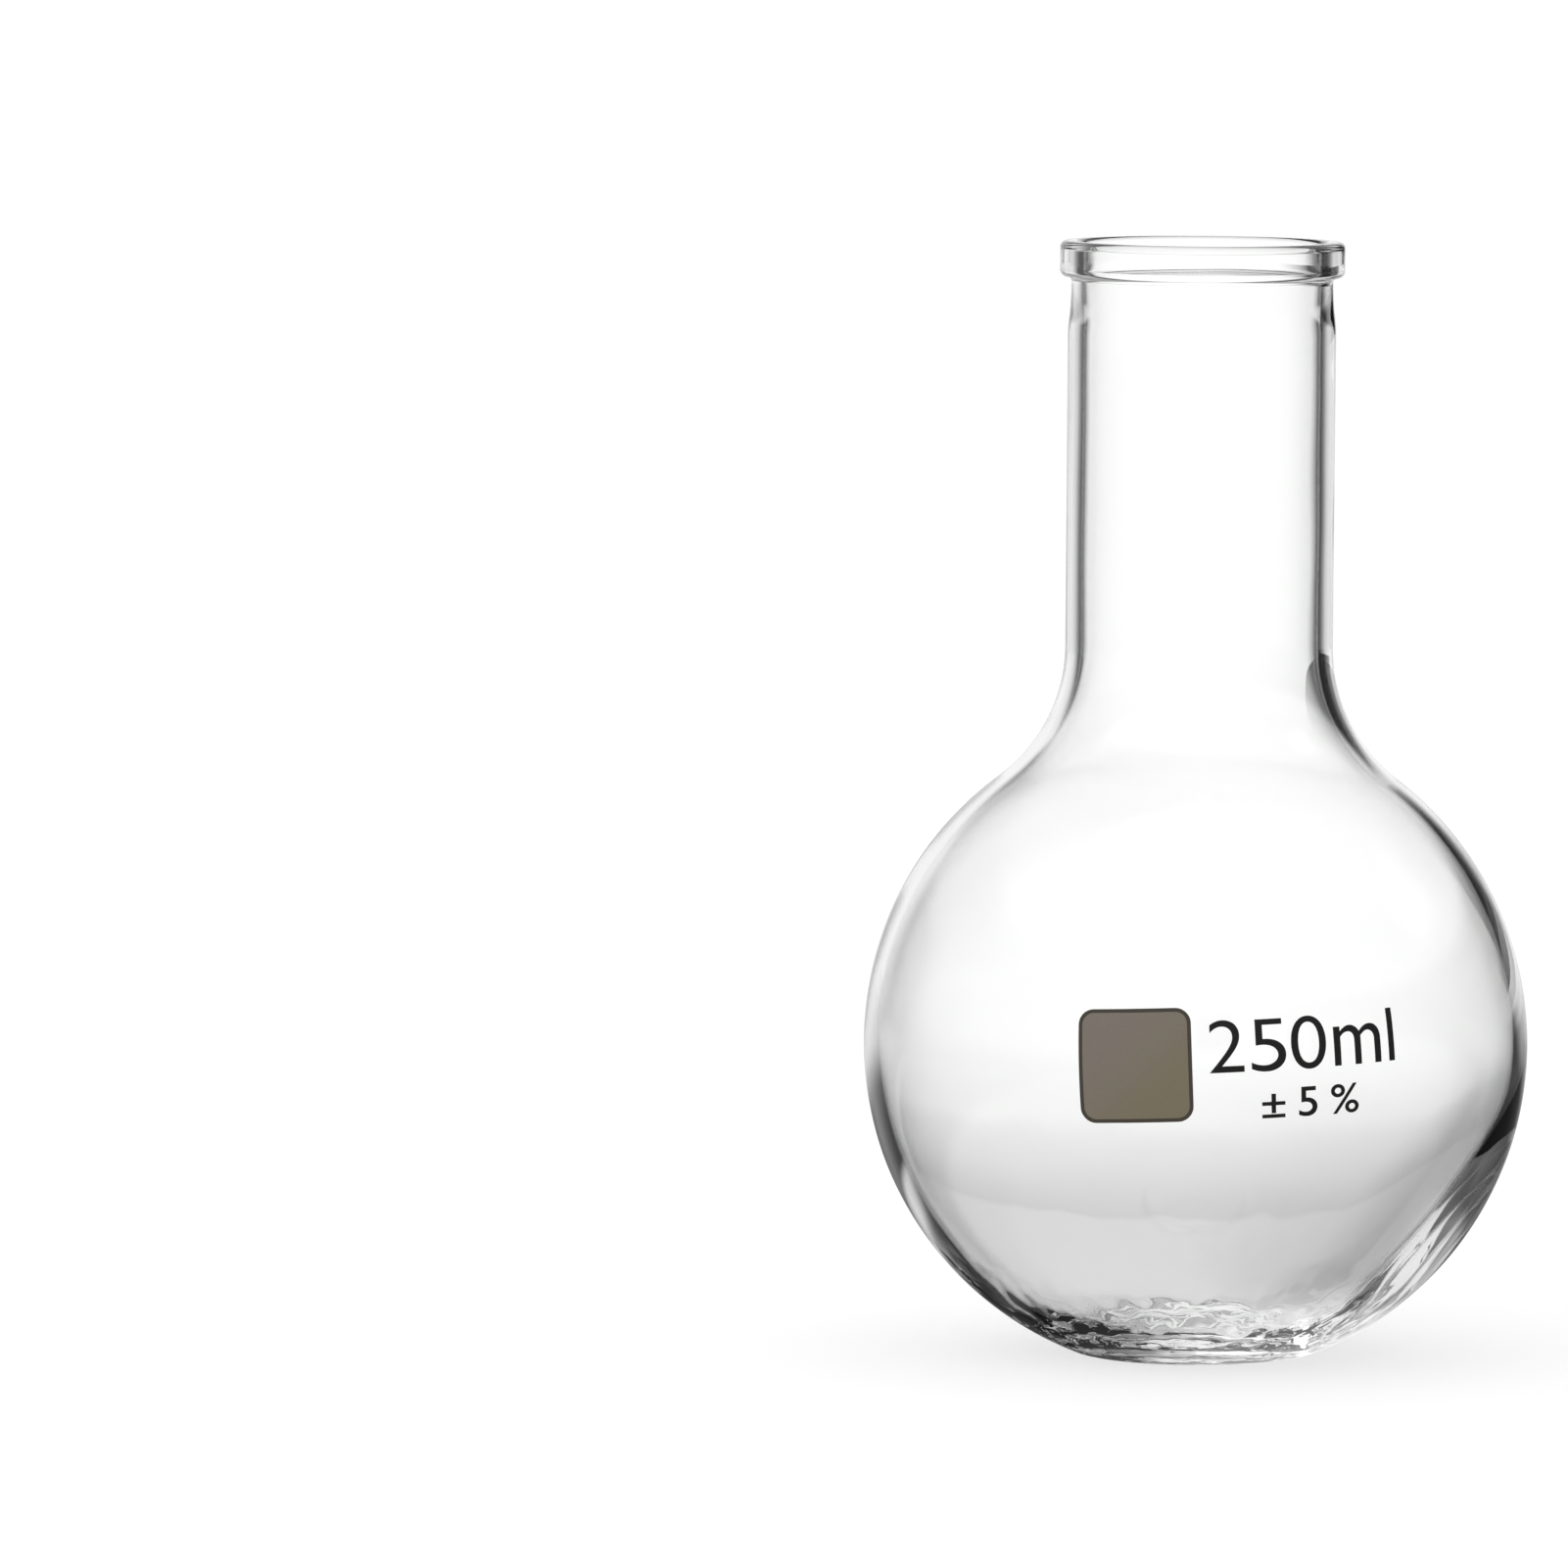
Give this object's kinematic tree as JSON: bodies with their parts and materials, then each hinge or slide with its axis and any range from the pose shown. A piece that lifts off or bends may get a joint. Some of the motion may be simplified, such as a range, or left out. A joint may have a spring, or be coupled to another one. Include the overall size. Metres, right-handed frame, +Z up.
{
  "type": "flat bottom flask",
  "caption": "Clear glass flask with a spherical bulb, a small flat pushed-up base, a straight narrow neck and a beaded rim, marked with its capacity.",
  "frame": {"origin": "centre of the base, on the surface that the flask stands on", "axes": "+Z up along the axis of the neck and bulb, -Y towards the marking patch"},
  "size_m": [0.085, 0.085, 0.1426],
  "materials": {
    "clear_glass": "clear, smooth and glossy from blowing and fire polishing",
    "grey_enamel": "olive grey printed colour, fired on, thin darker edge",
    "black_enamel": "near-black printed colour, fired on"
  },
  "bodies": {
    "root": {"flask": "clear_glass"}
  },
  "joints": []
}
